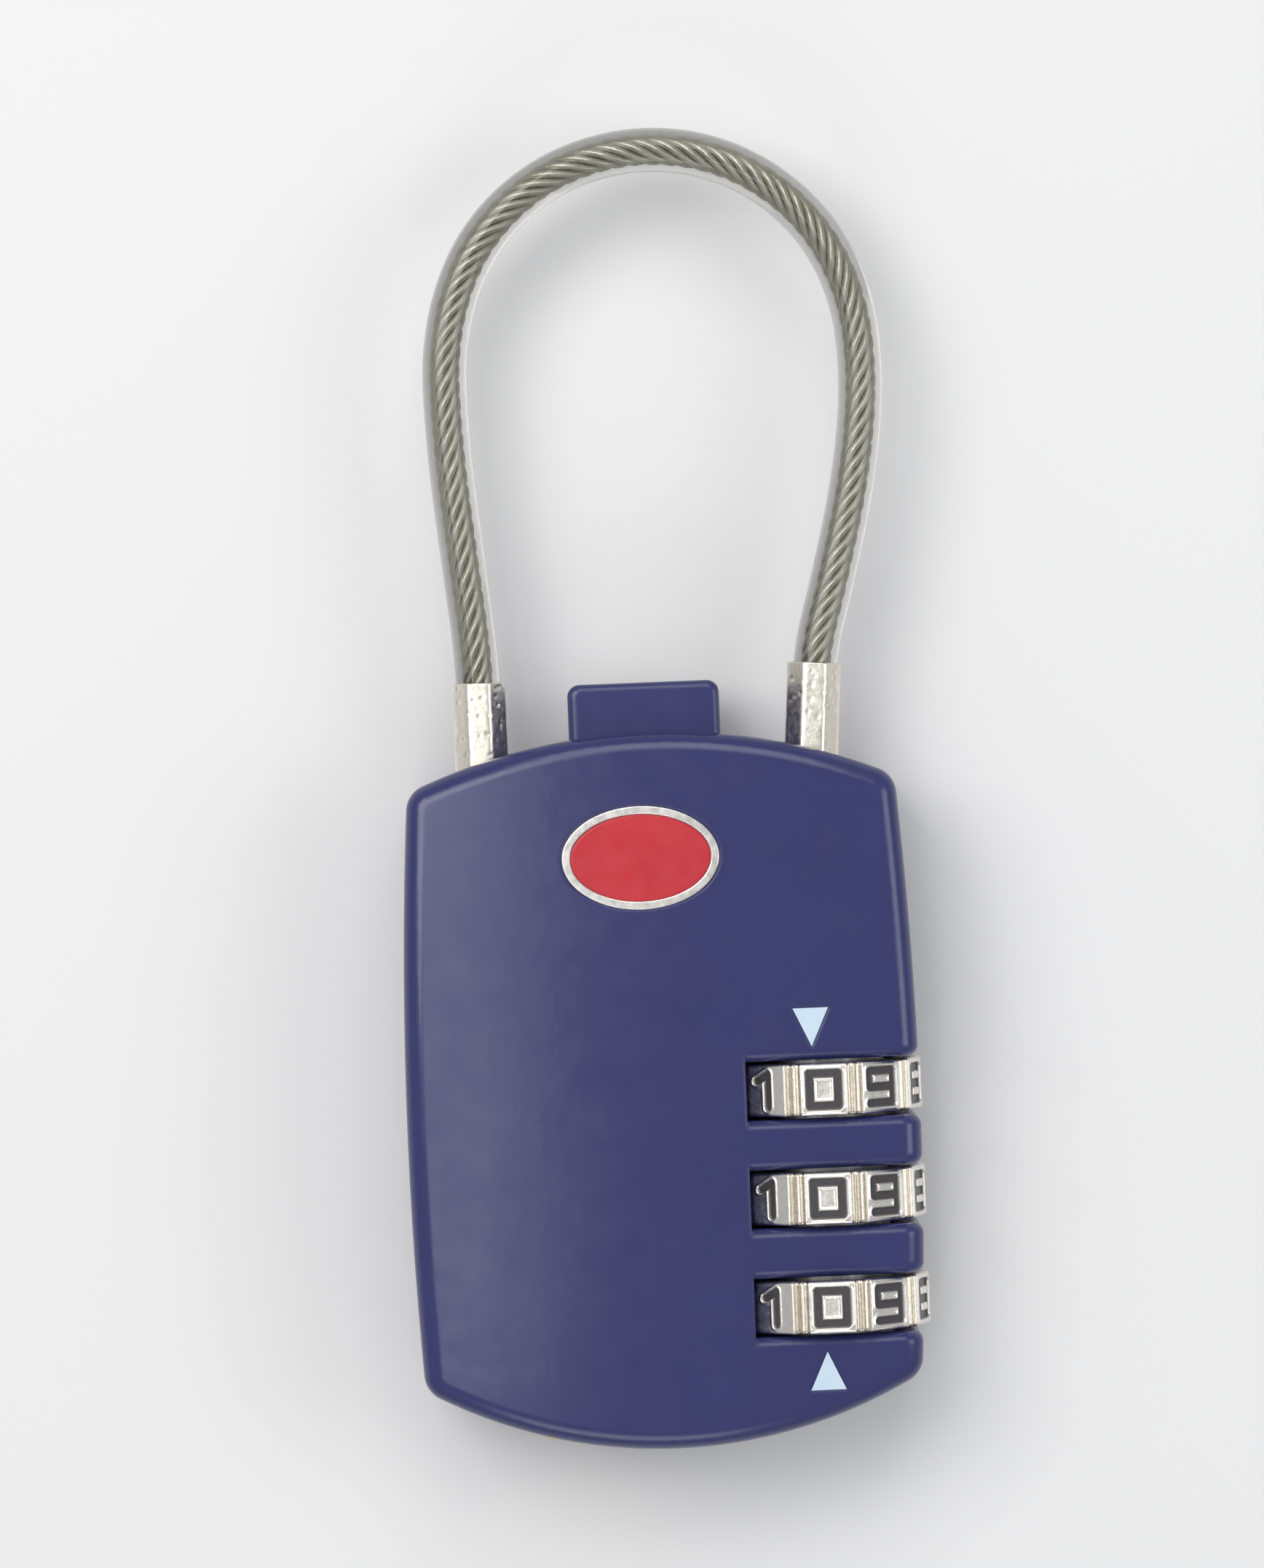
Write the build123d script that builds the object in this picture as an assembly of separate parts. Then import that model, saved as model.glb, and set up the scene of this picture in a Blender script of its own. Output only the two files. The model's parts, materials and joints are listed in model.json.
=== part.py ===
"""Three-dial cable padlock for luggage, lying on its back.

X runs to the right, Y towards the cable loop, Z out of the front. The origin is the centre of the flat back.
All sizes are in millimetres.
"""
import math
import os

from build123d import *

# body outline
body_width = 33.4
body_height = 46.7
side_bow_top = 0.8
side_bow_bottom = 0.5
top_bow = 3.4
bottom_bow = 4.35
widest_y = -4.0
corner_radius = 1.8

# body thickness
front_apex_z = 12.9
crown_radius = 250.0
front_edge_radius = 1.3
back_edge_radius = 0.8
window_corner_radius = 0.7

# fits
running_gap = 0.08
slide_gap = 0.2

# combination dials
dial_radius = 6.6
dial_front_proud = 0.6
dial_side_proud = 0.3
dial_pitch = 7.05
dial_first_y = -0.25
dial_count = 3
dial_thickness = 3.4
dial_digits = 10
dial_edge_chamfer = 0.25
flute_depth = 0.4
flute_radius = 0.9
dial_slot_gap = 0.2
dial_slot_reach = 5.0

# code sleeves and spindle
sleeve_radius = 4.2
sleeve_length = 6.8
sleeve_bore = 3.2
sleeve_web = 0.8
spline_height = 0.6
spline_angle = 14.0
spline_length = 2.8
notch_width = 2.0
spindle_radius = 1.6
spindle_end_radius = 1.1
spindle_end_inset = 0.4
fin_reach = 3.0
fin_width = 1.6
fin_thickness = 0.7
fin_lead = 0.3

# release button and carriage
button_x = -0.25
button_width = 9.9
button_depth = 6.6
button_proud = 3.25
button_root = 3.45
button_flange_step = 0.7
button_flange_height = 0.9
button_travel = 2.4
button_corner = 0.8
button_edge_radius = 0.5
carriage_thickness = 2.0
stem_half_width = 2.0
tongue_half_width = 1.4
tongue_length = 2.0
arm_lift = 0.85
arm_height = 2.6
hub_radius = 2.2
wedge_width = 1.2
wedge_arm_height = 0.9
wedge_tip_gap = 0.35
wedge_tip_thickness = 1.6
wedge_root_thickness = 4.0

# springs
button_spring_radius = 1.4
button_spring_wire = 0.4
button_spring_turns = 8
button_spring_length = 9.4
spring_post_radius = 0.9
spring_post_length = 1.6
ejector_spring_radius = 1.15
ejector_spring_wire = 0.35
ejector_spring_turns = 9
reset_spring_radius = 1.2
reset_spring_wire = 0.3
reset_spring_turns = 4

# cable
core_radius = 0.7
jacket_radius = 1.45
jacket_gap = 0.03
cable_seat_gap = 0.05

# cable ends
free_end_inset = 5.7
fixed_end_inset = 6.1
fixed_end_tilt = 4.0
end_pin_radius = 1.65
neck_radius = 1.0
neck_length = 1.4
pin_tip_length = 3.1
pin_tip_chamfer = 0.9
ferrule_wall = 0.3
ferrule_chamfer = 0.45
ferrule_sink = 2.45
ferrule_socket_gap = 0.12
free_ferrule_length = 6.2
fixed_ferrule_length = 6.7
ferrule_bore_depth = 2.4
leaning_stem_radius = 1.5
leaning_gap = 0.3
anchor_flange_step = 0.65
anchor_flange_height = 1.6
anchor_flange_drop = 5.9
anchor_tail_drop = 8.9

# latch clip
clip_drop = 7.75
clip_width = 1.0
clip_thickness = 1.1
clip_play = 0.05
clip_overhang = 1.6
clip_spread = 1.0

# ejector
ejector_head_radius = 1.5
ejector_head_height = 1.0
ejector_stem_radius = 0.7
ejector_stem_length = 5.0
ejector_well = 10.9
ejector_gap = 0.1

# key lock
key_x = -5.0
plug_radius = 2.6
barrel_wall = 1.0
barrel_recess = 0.75
barrel_length = 12.8
barrel_end_wall = 0.9
plug_recess = 0.3
keyway_width = 0.9
keyway_height = 3.6
wafer_count = 4
wafer_thickness = 0.6
wafer_width = 2.1
wafer_height = 4.6
wafer_pitch = 2.0
wafer_depth = 3.2
tail_radius = 0.9
tail_gap = 0.3
cam_half_width = 0.95
cam_half_height = 1.3
cam_height = 0.7
cam_to_bend = 0.4
cam_to_wedge = 2.0

# reset pin
reset_y = -8.0
reset_recess = 0.3
reset_radius = 1.0
reset_flange_inset = 2.3
reset_flange_radius = 1.6
reset_flange_thickness = 0.7
reset_stem_radius = 0.7
reset_stem_inset = 6.4
reset_well_inset = 5.6
reset_travel = 1.2

# detent spring
detent_leaf_gap = 0.75
detent_leaf_thickness = 0.25
detent_leaf_depth = 3.0
detent_overhang = 3.4
detent_nose_width = 0.7
detent_nose_length = 2.4
detent_nose_gap = 0.2

# case pins
case_pin_radius = 0.8
case_pin_bottom_z = 2.2
case_pin_cover = 2.5

# badge and index marks
badge_x = -0.85
badge_drop = 8.15
badge_width = 10.2
badge_height = 6.7
badge_recess = 1.0
badge_rim_width = 0.5
badge_tray = 0.3
badge_proud = 0.2
enamel_drop = 0.12
mark_width = 2.3
mark_height = 2.5
mark_recess = 1.5
mark_proud = 0.04
upper_mark_offset = -0.65
upper_mark_gap = 3.4
lower_mark_offset = -0.4
lower_mark_gap = 3.55

# the cable's centre line from the fixed end to the free end: x, and height above the body's top
cable_exit_step = 2.9
cable_route = [
    (12.5, 9.4),
    (14.2, 16.2),
    (15.0, 22.5),
    (14.5, 28.5),
    (11.7, 33.8),
    (6.6, 37.5),
    (0.4, 38.5),
    (-5.7, 36.7),
    (-10.3, 32.4),
    (-12.5, 26.3),
    (-12.4, 19.2),
    (-11.7, 11.8),
    (-11.0, 4.9),
]

# the body's edges and the middle plane, which holds the dials' axis and the cable
half_width_mid = body_width / 2
half_width_top = half_width_mid - side_bow_top
half_width_bottom = half_width_mid - side_bow_bottom
top_apex_y = body_height / 2
bottom_apex_y = -body_height / 2
top_corner_y = top_apex_y - top_bow
bottom_corner_y = bottom_apex_y + bottom_bow
mid_z = front_apex_z + dial_front_proud - dial_radius
on_base = (Align.CENTER, Align.CENTER, Align.MIN)

# dials, sleeves and spindle
dial_axis_x = half_width_mid + dial_side_proud - dial_radius
dial_places = [dial_first_y - dial_pitch * n for n in range(dial_count)]
dial_slot_half = dial_thickness / 2 + dial_slot_gap
dial_slot_left_x = dial_axis_x - dial_slot_reach
digit_angle = 360 / dial_digits
sleeve_saddle = sleeve_radius + running_gap
web_hole = spindle_radius + running_gap
fin_low = sleeve_web / 2 + fin_lead
saddle_low_y = dial_places[-1] - sleeve_length / 2 - slide_gap
saddle_high_y = dial_first_y + sleeve_length / 2 + slide_gap
spindle_end_y = saddle_low_y + spindle_end_inset
detent_leaf_x = dial_axis_x - dial_radius - detent_leaf_gap
detent_top_y = dial_first_y + detent_overhang
detent_bottom_y = dial_places[-1] - detent_overhang

# button and carriage
button_top_y = top_apex_y + button_proud
button_flange_y = top_apex_y - button_root
button_edge = button_width / 2
flange_edge = button_edge + button_flange_step
arm_bottom_y = dial_first_y + sleeve_length / 2 + arm_lift + button_travel
arm_top_y = arm_bottom_y + arm_height
button_spring_seat_y = arm_bottom_y - button_spring_length

# latch, cable ends and ejector
free_end_x = -half_width_mid + free_end_inset
fixed_end_x = half_width_mid - fixed_end_inset
clip_y = top_apex_y - clip_drop
clip_gap = neck_radius + clip_play
clip_end_x = free_end_x - clip_overhang
clip_bend_x = key_x + cam_to_bend
wedge_x = key_x - cam_to_wedge
wedge_arm_y = button_flange_y - wedge_arm_height
wedge_tip_y = clip_y + clip_width + wedge_tip_gap
ferrule_width = 2 * (jacket_radius + ferrule_wall)
ferrule_seat_y = top_apex_y - ferrule_sink
ferrule_flat_half = ferrule_width / 2 - ferrule_chamfer
ferrule_socket_radius = math.hypot(ferrule_width / 2, ferrule_flat_half) + ferrule_socket_gap
free_ferrule_top_y = ferrule_seat_y + free_ferrule_length
fixed_ferrule_top_y = ferrule_seat_y + fixed_ferrule_length
anchor_flange_radius = end_pin_radius + anchor_flange_step
anchor_flange_y = ferrule_seat_y - anchor_flange_drop
anchor_tail_y = ferrule_seat_y - anchor_tail_drop
pin_bore = end_pin_radius + running_gap
pin_end_y = clip_y - pin_tip_length
ejector_top_y = pin_end_y - ejector_gap
ejector_head_y = ejector_top_y - ejector_head_height
ejector_floor_y = pin_end_y - ejector_well

# key lock and reset pin
barrel_radius = plug_radius + barrel_wall
barrel_bottom_y = bottom_apex_y + barrel_recess
barrel_top_y = barrel_bottom_y + barrel_length
wafer_first_y = barrel_bottom_y + wafer_depth
tail_top_y = wedge_arm_y - button_travel - tail_gap
reset_flange_x = -half_width_mid + reset_flange_inset
reset_stem_end_x = -half_width_mid + reset_stem_inset
reset_floor_x = -half_width_mid + reset_well_inset

# case pins, badge and marks
case_pin_top_z = front_apex_z - case_pin_cover
case_pin_places = [
    (-half_width_mid + 2.9, bottom_apex_y + 7.9),
    (-half_width_mid + 2.4, arm_bottom_y),
    (dial_axis_x - 6.8, bottom_apex_y + 3.6),
    (half_width_mid - 2.5, top_apex_y - 8.0),
]
badge_y = top_apex_y - badge_drop
badge_floor_z = front_apex_z - badge_recess
mark_floor_z = front_apex_z - mark_recess
upper_mark_x = dial_axis_x + upper_mark_offset
upper_mark_y = dial_first_y + dial_slot_half + upper_mark_gap
lower_mark_x = dial_axis_x + lower_mark_offset
lower_mark_y = dial_places[-1] - dial_slot_half - lower_mark_gap


def rod(x, y_low, y_high, radius, z=mid_z):
    """A round bar along Y."""
    return Pos(x, y_low, z) * Rot(-90, 0, 0) * Cylinder(radius, y_high - y_low, align=on_base)


def bar_x(x_low, x_high, y, radius):
    """A round bar along X at the middle plane."""
    return Pos(x_low, y, mid_z) * Rot(0, 90, 0) * Cylinder(radius, x_high - x_low, align=on_base)


def block(x_low, x_high, y_low, y_high, z_low, z_high):
    """A box between two corners."""
    size = (x_high - x_low, y_high - y_low, z_high - z_low)
    return Pos(x_low, y_low, z_low) * Box(*size, align=(Align.MIN, Align.MIN, Align.MIN))


def flat_block(x_low, x_high, y_low, y_high, thickness):
    """A box centred on the middle plane."""
    return block(x_low, x_high, y_low, y_high, mid_z - thickness / 2, mid_z + thickness / 2)


def spring(radius, wire, length, turns):
    """A round-wire compression spring standing on the XY plane."""
    pitch = (length - wire) / turns
    path = Helix(pitch, length - wire, radius)
    section = Plane(path @ 0, z_dir=path % 0) * Circle(wire / 2)
    return Pos(0, 0, wire / 2) * sweep(section, path=path, is_frenet=True)


def spring_along_y(x, y_low, y_high, radius, wire, turns):
    """A compression spring along Y at the middle plane."""
    return Pos(x, y_low, mid_z) * Rot(-90, 0, 0) * spring(radius, wire, y_high - y_low, turns)


def crown(extra=0.0):
    """The ball whose cap is the front of the body."""
    return Pos(0, 0, front_apex_z - crown_radius) * Rot(90, 0, 0) * Sphere(crown_radius + extra)


def outline():
    """The body's face: four bowed sides with rounded corners."""
    top_left = (-half_width_top, top_corner_y)
    top_right = (half_width_top, top_corner_y)
    low_right = (half_width_bottom, bottom_corner_y)
    low_left = (-half_width_bottom, bottom_corner_y)
    sides = [
        ThreePointArc(top_left, (0, top_apex_y), top_right),
        ThreePointArc(top_right, (half_width_mid, widest_y), low_right),
        ThreePointArc(low_right, (0, bottom_apex_y), low_left),
        ThreePointArc(low_left, (-half_width_mid, widest_y), top_left),
    ]
    face = make_face(sides)
    return fillet(face.vertices(), corner_radius)


def body_blank():
    """The whole body as one solid block, before it is split and hollowed."""
    blank = extrude(outline(), front_apex_z) & crown()
    front_edges = blank.edges().filter_by(lambda e: e.center().Z > front_apex_z - 3)
    blank = fillet(front_edges, front_edge_radius)
    back_edges = blank.edges().filter_by(lambda e: e.center().Z < 0.01)
    return fillet(back_edges, back_edge_radius)


def dial_cuts():
    """Slots for the dials, and the saddles that the code sleeves run in."""
    cuts = []
    for y in dial_places:
        low = y - dial_slot_half
        high = y + dial_slot_half
        room = rod(dial_axis_x, low, high, dial_radius + slide_gap)
        cuts.append(room + block(dial_slot_left_x, half_width_mid + 3, low, high, -1, front_apex_z + 1))
    cuts.append(rod(dial_axis_x, saddle_low_y, saddle_high_y, sleeve_saddle))
    guide_low = spindle_end_y - button_travel - slide_gap
    cuts.append(rod(dial_axis_x, guide_low, arm_bottom_y, spindle_radius + running_gap))
    return cuts


def carriage_cuts():
    """Room for the button, the carriage and their travel."""
    gap = slide_gap
    low_arm = arm_bottom_y - button_travel - gap
    flange_low = button_flange_y - button_travel - gap
    flange_high = button_flange_y + button_flange_height
    plate = carriage_thickness + 2 * gap
    cuts = [
        flat_block(
            button_x - button_edge - running_gap,
            button_x + button_edge + running_gap,
            flange_high - 0.5,
            top_apex_y + 2,
            button_depth + 2 * running_gap,
        ),
        flat_block(
            button_x - flange_edge - gap,
            button_x + flange_edge + gap,
            flange_low,
            flange_high,
            button_depth + 2 * running_gap,
        ),
        flat_block(-stem_half_width - gap, stem_half_width + gap, low_arm, flange_high - 0.1, plate),
        flat_block(stem_half_width - 0.1, dial_axis_x + hub_radius, low_arm, arm_top_y + gap, plate),
        rod(dial_axis_x, low_arm, arm_top_y + gap, hub_radius + gap),
        flat_block(
            wedge_x - wedge_width / 2 - gap,
            -stem_half_width,
            wedge_arm_y - button_travel - gap,
            button_flange_y,
            plate,
        ),
        flat_block(
            wedge_x - wedge_width / 2 - gap,
            wedge_x + wedge_width / 2 + gap,
            wedge_tip_y - button_travel - gap,
            button_flange_y,
            wedge_root_thickness + 2 * gap,
        ),
        rod(0, button_spring_seat_y, arm_bottom_y, button_spring_radius + button_spring_wire / 2 + gap),
    ]
    return cuts


def cable_end_cuts():
    """Bores for both cable ends, the anchor groove and the ejector."""
    socket_floor = ferrule_seat_y - running_gap
    return [
        rod(free_end_x, ejector_floor_y, socket_floor, pin_bore),
        rod(free_end_x, socket_floor, top_apex_y + 2, ferrule_socket_radius),
        rod(fixed_end_x, anchor_tail_y - running_gap, socket_floor, end_pin_radius),
        rod(fixed_end_x, socket_floor, top_apex_y + 2, ferrule_socket_radius),
        rod(fixed_end_x, anchor_flange_y, anchor_flange_y + anchor_flange_height, anchor_flange_radius),
    ]


def latch_cuts():
    """The pocket where the latch clip sits and opens."""
    outer = 2 * (clip_gap + clip_thickness + clip_spread)
    bend = clip_bend_x + clip_gap + clip_thickness
    return [
        flat_block(
            clip_end_x - slide_gap,
            bend + slide_gap,
            clip_y - running_gap,
            clip_y + clip_width + running_gap,
            outer,
        )
    ]


def key_cuts():
    """The barrel's bore and the bore of the key plug's tail."""
    return [
        rod(key_x, bottom_apex_y - 2, barrel_top_y, barrel_radius),
        rod(key_x, barrel_top_y - 0.1, tail_top_y + slide_gap, tail_radius + slide_gap),
        rod(
            key_x,
            tail_top_y - cam_height - slide_gap,
            tail_top_y + slide_gap,
            cam_half_height + slide_gap,
        ),
    ]


def reset_cuts():
    """The stepped bore of the reset pin."""
    return [
        bar_x(-half_width_mid - 1, reset_flange_x, reset_y, reset_radius + running_gap),
        bar_x(reset_flange_x, reset_floor_x, reset_y, reset_flange_radius + slide_gap),
        bar_x(
            reset_floor_x - 0.1,
            reset_stem_end_x + reset_travel + slide_gap,
            reset_y,
            reset_stem_radius + slide_gap,
        ),
    ]


def detent_cut():
    """The narrow pocket of the detent leaf."""
    return flat_block(
        detent_leaf_x - slide_gap,
        dial_axis_x - dial_radius,
        detent_bottom_y - running_gap,
        detent_top_y + running_gap,
        detent_leaf_depth + 2 * running_gap,
    )


def case_pins():
    """Four press pins that hold the two shells together."""
    pin = Pos(0, 0, case_pin_bottom_z) * Cylinder(
        case_pin_radius, case_pin_top_z - case_pin_bottom_z, align=on_base
    )
    return [Pos(x, y) * pin for x, y in case_pin_places]


def oval(width, height):
    """A flat ellipse at the badge's place."""
    return Pos(badge_x, badge_y) * Ellipse(width / 2, height / 2)


def badge_top_z():
    """Height of the badge's rim: a little proud of the crowned front."""
    return front_apex_z - (badge_x**2 + badge_y**2) / (2 * crown_radius) + badge_proud


def triangle(x, y, direction):
    """An index mark's outline: its base at y, its point towards the dials."""
    half = mark_width / 2
    return make_face(Polyline((x - half, y), (x + half, y), (x, y + direction * mark_height), close=True))


def mark_prisms():
    """Both index marks as prisms through the front."""
    depth = front_apex_z + 1 - mark_floor_z
    faces = [triangle(upper_mark_x, upper_mark_y, -1), triangle(lower_mark_x, lower_mark_y, 1)]
    return [Pos(0, 0, mark_floor_z) * extrude(face, depth) for face in faces]


def soften_windows(shell):
    """Round the ribs' corners where the dial windows run out of the right side."""
    corners = [
        edge
        for edge in shell.edges().filter_by(Axis.Z)
        if edge.center().X > half_width_bottom - 1 and abs(edge.center().Y + dial_pitch) < dial_pitch + 3
    ]
    return fillet(corners, window_corner_radius)


def shells():
    """The rear and front halves of the body."""
    blank = body_blank()
    cuts = dial_cuts() + carriage_cuts() + cable_end_cuts() + latch_cuts() + key_cuts() + reset_cuts()
    cuts.append(detent_cut())
    cuts += case_pins()
    badge_pocket = Pos(0, 0, badge_floor_z) * extrude(oval(badge_width, badge_height), 3)
    cuts.append(badge_pocket)
    cuts += mark_prisms()
    wide = 60
    rear = blank & block(-wide, wide, -wide, wide, -1, mid_z)
    front = blank & block(-wide, wide, -wide, wide, mid_z, front_apex_z + 1)
    for cut in cuts:
        rear -= cut
        front -= cut
    return soften_windows(rear), soften_windows(front)


def badge():
    """The badge's rim tray and the enamel in it."""
    top = badge_top_z()
    outer = extrude(oval(badge_width, badge_height), top - badge_floor_z)
    inner_face = oval(badge_width - 2 * badge_rim_width, badge_height - 2 * badge_rim_width)
    inner = Pos(0, 0, badge_tray) * extrude(inner_face, top)
    rim = Pos(0, 0, badge_floor_z) * (outer - inner)
    enamel_height = top - badge_floor_z - badge_tray - enamel_drop
    enamel = Pos(0, 0, badge_floor_z + badge_tray) * extrude(inner_face, enamel_height)
    return rim, enamel


def index_marks():
    """Enamel-filled triangles that follow the crowned front."""
    return [prism & crown(mark_proud) for prism in mark_prisms()]


def release_button():
    """The push button on top, with its stop flange and the slot for the carriage's tongue."""
    head = flat_block(
        button_x - button_edge, button_x + button_edge, button_flange_y, button_top_y, button_depth
    )
    upright = head.edges().filter_by(Axis.Z).sort_by(Axis.Y)[-2:]
    head = fillet(upright, button_corner)
    rim = [
        edge
        for edge in head.edges()
        if edge.center().Y > top_apex_y and abs(edge.center().Z - mid_z) > button_depth / 2 - 0.1
    ]
    head = fillet(rim, button_edge_radius)
    flange = flat_block(
        button_x - flange_edge,
        button_x + flange_edge,
        button_flange_y,
        button_flange_y + button_flange_height,
        button_depth,
    )
    slot = flat_block(
        -tongue_half_width,
        tongue_half_width,
        button_flange_y - 1,
        button_flange_y + tongue_length,
        carriage_thickness,
    )
    return head + flange - slot


def carriage():
    """The slide that the button pushes: a stem, the wedge's arm and the spindle's arm."""
    stem = flat_block(-stem_half_width, stem_half_width, arm_bottom_y, button_flange_y, carriage_thickness)
    tongue = flat_block(
        -tongue_half_width,
        tongue_half_width,
        button_flange_y,
        button_flange_y + tongue_length,
        carriage_thickness,
    )
    arm = flat_block(stem_half_width, dial_axis_x, arm_bottom_y, arm_top_y, carriage_thickness)
    hub = rod(dial_axis_x, arm_bottom_y, arm_top_y, hub_radius)
    left = wedge_x - wedge_width / 2
    wedge_arm = flat_block(left, -stem_half_width, wedge_arm_y, button_flange_y, carriage_thickness)
    tip = wedge_tip_thickness / 2
    root = wedge_root_thickness / 2
    side = Polyline(
        (wedge_tip_y, mid_z - tip),
        (wedge_arm_y, mid_z - root),
        (button_flange_y, mid_z - root),
        (button_flange_y, mid_z + root),
        (wedge_arm_y, mid_z + root),
        (wedge_tip_y, mid_z + tip),
        close=True,
    )
    wedge = Plane.YZ.offset(left) * make_face(side)
    wedge = extrude(wedge, wedge_width)
    post = rod(0, arm_bottom_y - spring_post_length, arm_bottom_y, spring_post_radius)
    bore = rod(dial_axis_x, arm_bottom_y - 1, arm_top_y + 1, spindle_end_radius)
    return stem + tongue + arm + hub + wedge_arm + wedge + post - bore


def button_spring():
    """The return spring between the body and the carriage."""
    low = button_spring_seat_y
    return spring_along_y(0, low, arm_bottom_y, button_spring_radius, button_spring_wire, button_spring_turns)


def code_spindle():
    """The spindle with one fin for each code sleeve."""
    shaft = rod(dial_axis_x, spindle_end_y, arm_bottom_y, spindle_radius)
    shaft += rod(dial_axis_x, arm_bottom_y, arm_top_y, spindle_end_radius)
    for y in dial_places:
        shaft += flat_block(
            dial_axis_x - fin_reach,
            dial_axis_x,
            y + fin_low,
            y + fin_low + fin_thickness,
            fin_width,
        )
    return shaft


def splines(radius, height, length, gap):
    """Ten teeth round the dial axis, one for each digit, standing on a drum of the given radius."""
    half = spline_angle / 2 + math.degrees(gap / radius)
    inner = radius - 0.3
    outer = radius + height + gap
    points = [
        (inner * math.cos(math.radians(-half)), inner * math.sin(math.radians(-half))),
        (outer * math.cos(math.radians(-half)), outer * math.sin(math.radians(-half))),
        (outer * math.cos(math.radians(half)), outer * math.sin(math.radians(half))),
        (inner * math.cos(math.radians(half)), inner * math.sin(math.radians(half))),
    ]
    tooth = Pos(0, 0, -length / 2) * extrude(make_face(Polyline(*points, close=True)), length)
    return [Rot(0, 0, digit_angle * n) * tooth for n in range(dial_digits)]


def dial():
    """A fluted digit wheel about Z, with ten digit pads and ten grooves inside."""
    wheel = Cylinder(dial_radius, dial_thickness)
    wheel = chamfer(wheel.edges().filter_by(GeomType.CIRCLE), dial_edge_chamfer)
    flute = Pos(0, dial_radius - flute_depth + flute_radius) * Cylinder(flute_radius, dial_thickness + 1)
    flutes = [Rot(0, 0, digit_angle * (n + 0.5)) * flute for n in range(dial_digits)]
    bore = Cylinder(sleeve_radius + running_gap, dial_thickness + 1)
    grooves = splines(sleeve_radius + running_gap, spline_height, dial_thickness + 1, running_gap)
    return wheel - flutes - bore - grooves


def code_sleeve():
    """The sleeve about Z that carries the code: splined to its dial, with a notched web inside."""
    drum = Cylinder(sleeve_radius, sleeve_length) - Cylinder(sleeve_bore, sleeve_length + 1)
    drum += Cylinder(sleeve_bore + 0.2, sleeve_web) - Cylinder(web_hole, sleeve_web + 1)
    drum += splines(sleeve_radius, spline_height, spline_length, 0)
    notch = Pos(-sleeve_bore / 2, 0) * Box(sleeve_bore, notch_width, sleeve_web + 1)
    return drum - notch


def turned_onto_axis(piece, y):
    """Turn a piece made about Z onto the dial axis: its +Y becomes +Z, its -X stays."""
    return Pos(dial_axis_x, y, mid_z) * Rot(90, 0, 0) * piece


def detent_spring():
    """A leaf with one nose for each dial, resting in the flute that faces it."""
    leaf = flat_block(
        detent_leaf_x,
        detent_leaf_x + detent_leaf_thickness,
        detent_bottom_y,
        detent_top_y,
        detent_leaf_depth,
    )
    nose_x = dial_axis_x - dial_radius + flute_depth - detent_nose_gap
    half = detent_nose_length / 2
    for y in dial_places:
        leaf += flat_block(detent_leaf_x, nose_x, y - half, y + half, detent_nose_width)
    return leaf


def ferrule(x, y_low, y_high):
    """The square crimp on the cable, with its corners taken off and a bore for the cable."""
    crimp = flat_block(x - ferrule_width / 2, x + ferrule_width / 2, y_low, y_high, ferrule_width)
    crimp = chamfer(crimp.edges().filter_by(Axis.Y), ferrule_chamfer)
    bore = rod(x, y_high - ferrule_bore_depth, y_high + 1, jacket_radius + cable_seat_gap)
    return crimp - bore


def free_end_fitting():
    """The loose end: a crimp, a turned pin, a neck for the clip and a coned tip."""
    x = free_end_x
    neck_low = clip_y - (neck_length - clip_width) / 2
    neck_high = neck_low + neck_length
    pin = rod(x, neck_high, ferrule_seat_y, end_pin_radius)
    neck = rod(x, neck_low, neck_high, neck_radius)
    tip = rod(x, pin_end_y, neck_low, end_pin_radius)
    end_edge = tip.edges().filter_by(GeomType.CIRCLE).sort_by(Axis.Y)[0]
    tip = chamfer(end_edge, pin_tip_chamfer)
    return pin + neck + tip + ferrule(x, ferrule_seat_y, free_ferrule_top_y)


def fixed_end_fitting():
    """The anchored end: a flanged tail held between the shells, and a crimp that leans outwards."""
    x = fixed_end_x
    tail = rod(x, anchor_tail_y, ferrule_seat_y - leaning_gap, end_pin_radius)
    flange = rod(x, anchor_flange_y, anchor_flange_y + anchor_flange_height, anchor_flange_radius)
    upper = rod(x, ferrule_seat_y - 2 * leaning_gap, ferrule_seat_y, leaning_stem_radius)
    upper += ferrule(x, ferrule_seat_y, fixed_ferrule_top_y)
    return tail + flange + leaning(upper)


def leaning(piece):
    """Lean a piece outwards about the foot of the fixed end's ferrule."""
    pivot = Pos(fixed_end_x, ferrule_seat_y, 0)
    return pivot * Rot(0, 0, -fixed_end_tilt) * pivot.inverse() * piece


def leaning_point(rise):
    """A point on the leaning end's axis, this far above its pivot."""
    lean = math.radians(fixed_end_tilt)
    return fixed_end_x + rise * math.sin(lean), ferrule_seat_y + rise * math.cos(lean)


def cable_path():
    """The cable's centre line: straight runs joined by tangent arcs, as large as the runs allow."""
    rise = fixed_ferrule_top_y - ferrule_bore_depth - ferrule_seat_y
    start = leaning_point(rise)
    second = leaning_point(rise + cable_exit_step)
    end = (free_end_x, free_ferrule_top_y - ferrule_bore_depth)
    route = [(x, top_apex_y + height) for x, height in cable_route]
    points = [Vector(x, y, mid_z) for x, y in [start, second] + route + [end]]
    radii = []
    for before, here, after in zip(points, points[1:], points[2:]):
        turn = (here - before).get_angle(after - here)
        shorter = min((here - before).length, (after - here).length)
        radii.append(0.45 * shorter / math.tan(math.radians(turn / 2)))
    print("cable arcs:", [round(radius, 1) for radius in radii])
    return FilletPolyline(*points, radius=radii)


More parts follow.
